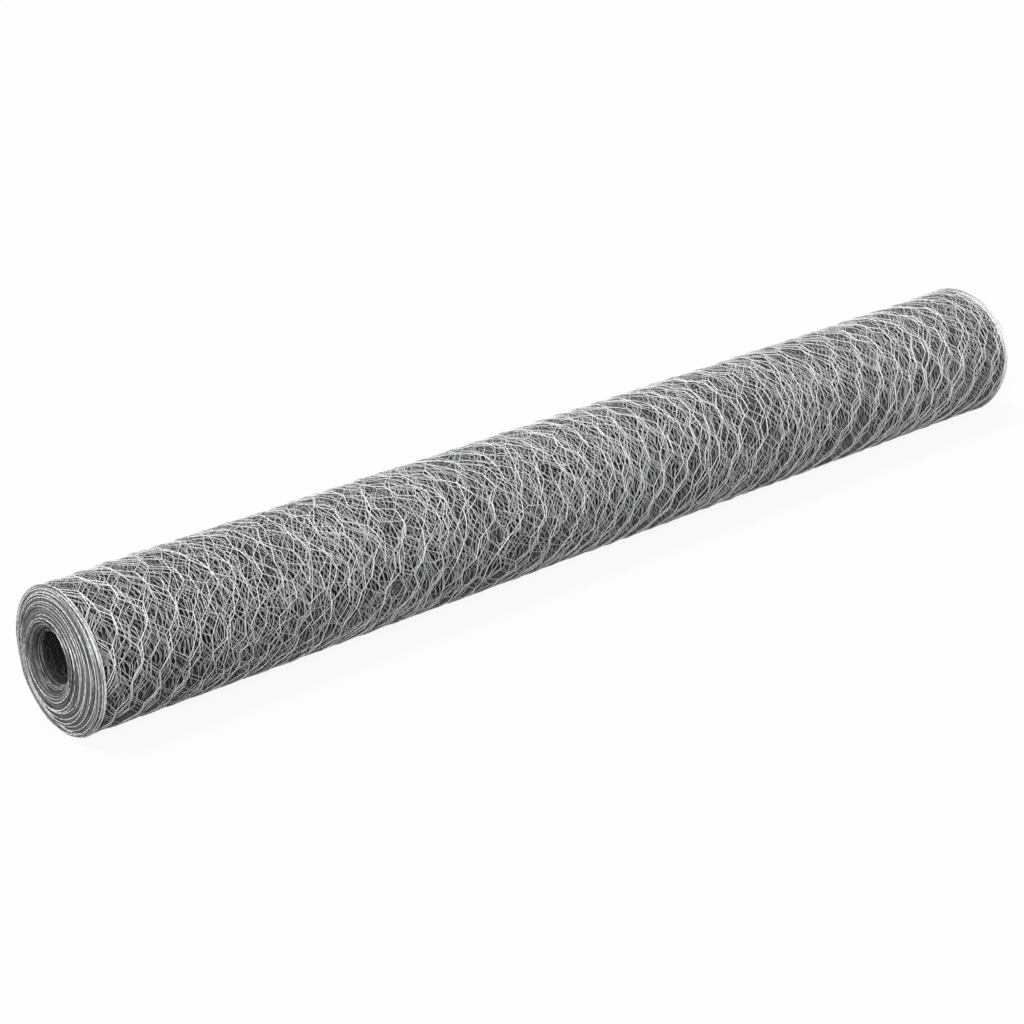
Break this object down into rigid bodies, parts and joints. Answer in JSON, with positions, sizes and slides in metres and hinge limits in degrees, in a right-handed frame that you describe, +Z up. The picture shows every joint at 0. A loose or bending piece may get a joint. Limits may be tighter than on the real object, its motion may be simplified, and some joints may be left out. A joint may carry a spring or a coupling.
{
  "type": "roll of hexagonal wire netting",
  "caption": "Cylindrical roll of galvanised hexagonal wire netting wound on itself, with an open bore and telescoped ends.",
  "frame": {"origin": "on the floor, under the middle of the lying roll's bounding box", "axes": "+X along the roll's axis, from the domed end towards the dished end; +Z up"},
  "size_m": [1.0118, 0.1198, 0.12],
  "materials": {
    "galvanised_wire": "dull grey galvanised"
  },
  "bodies": {
    "root": {"netting_roll": "galvanised_wire"}
  },
  "joints": []
}
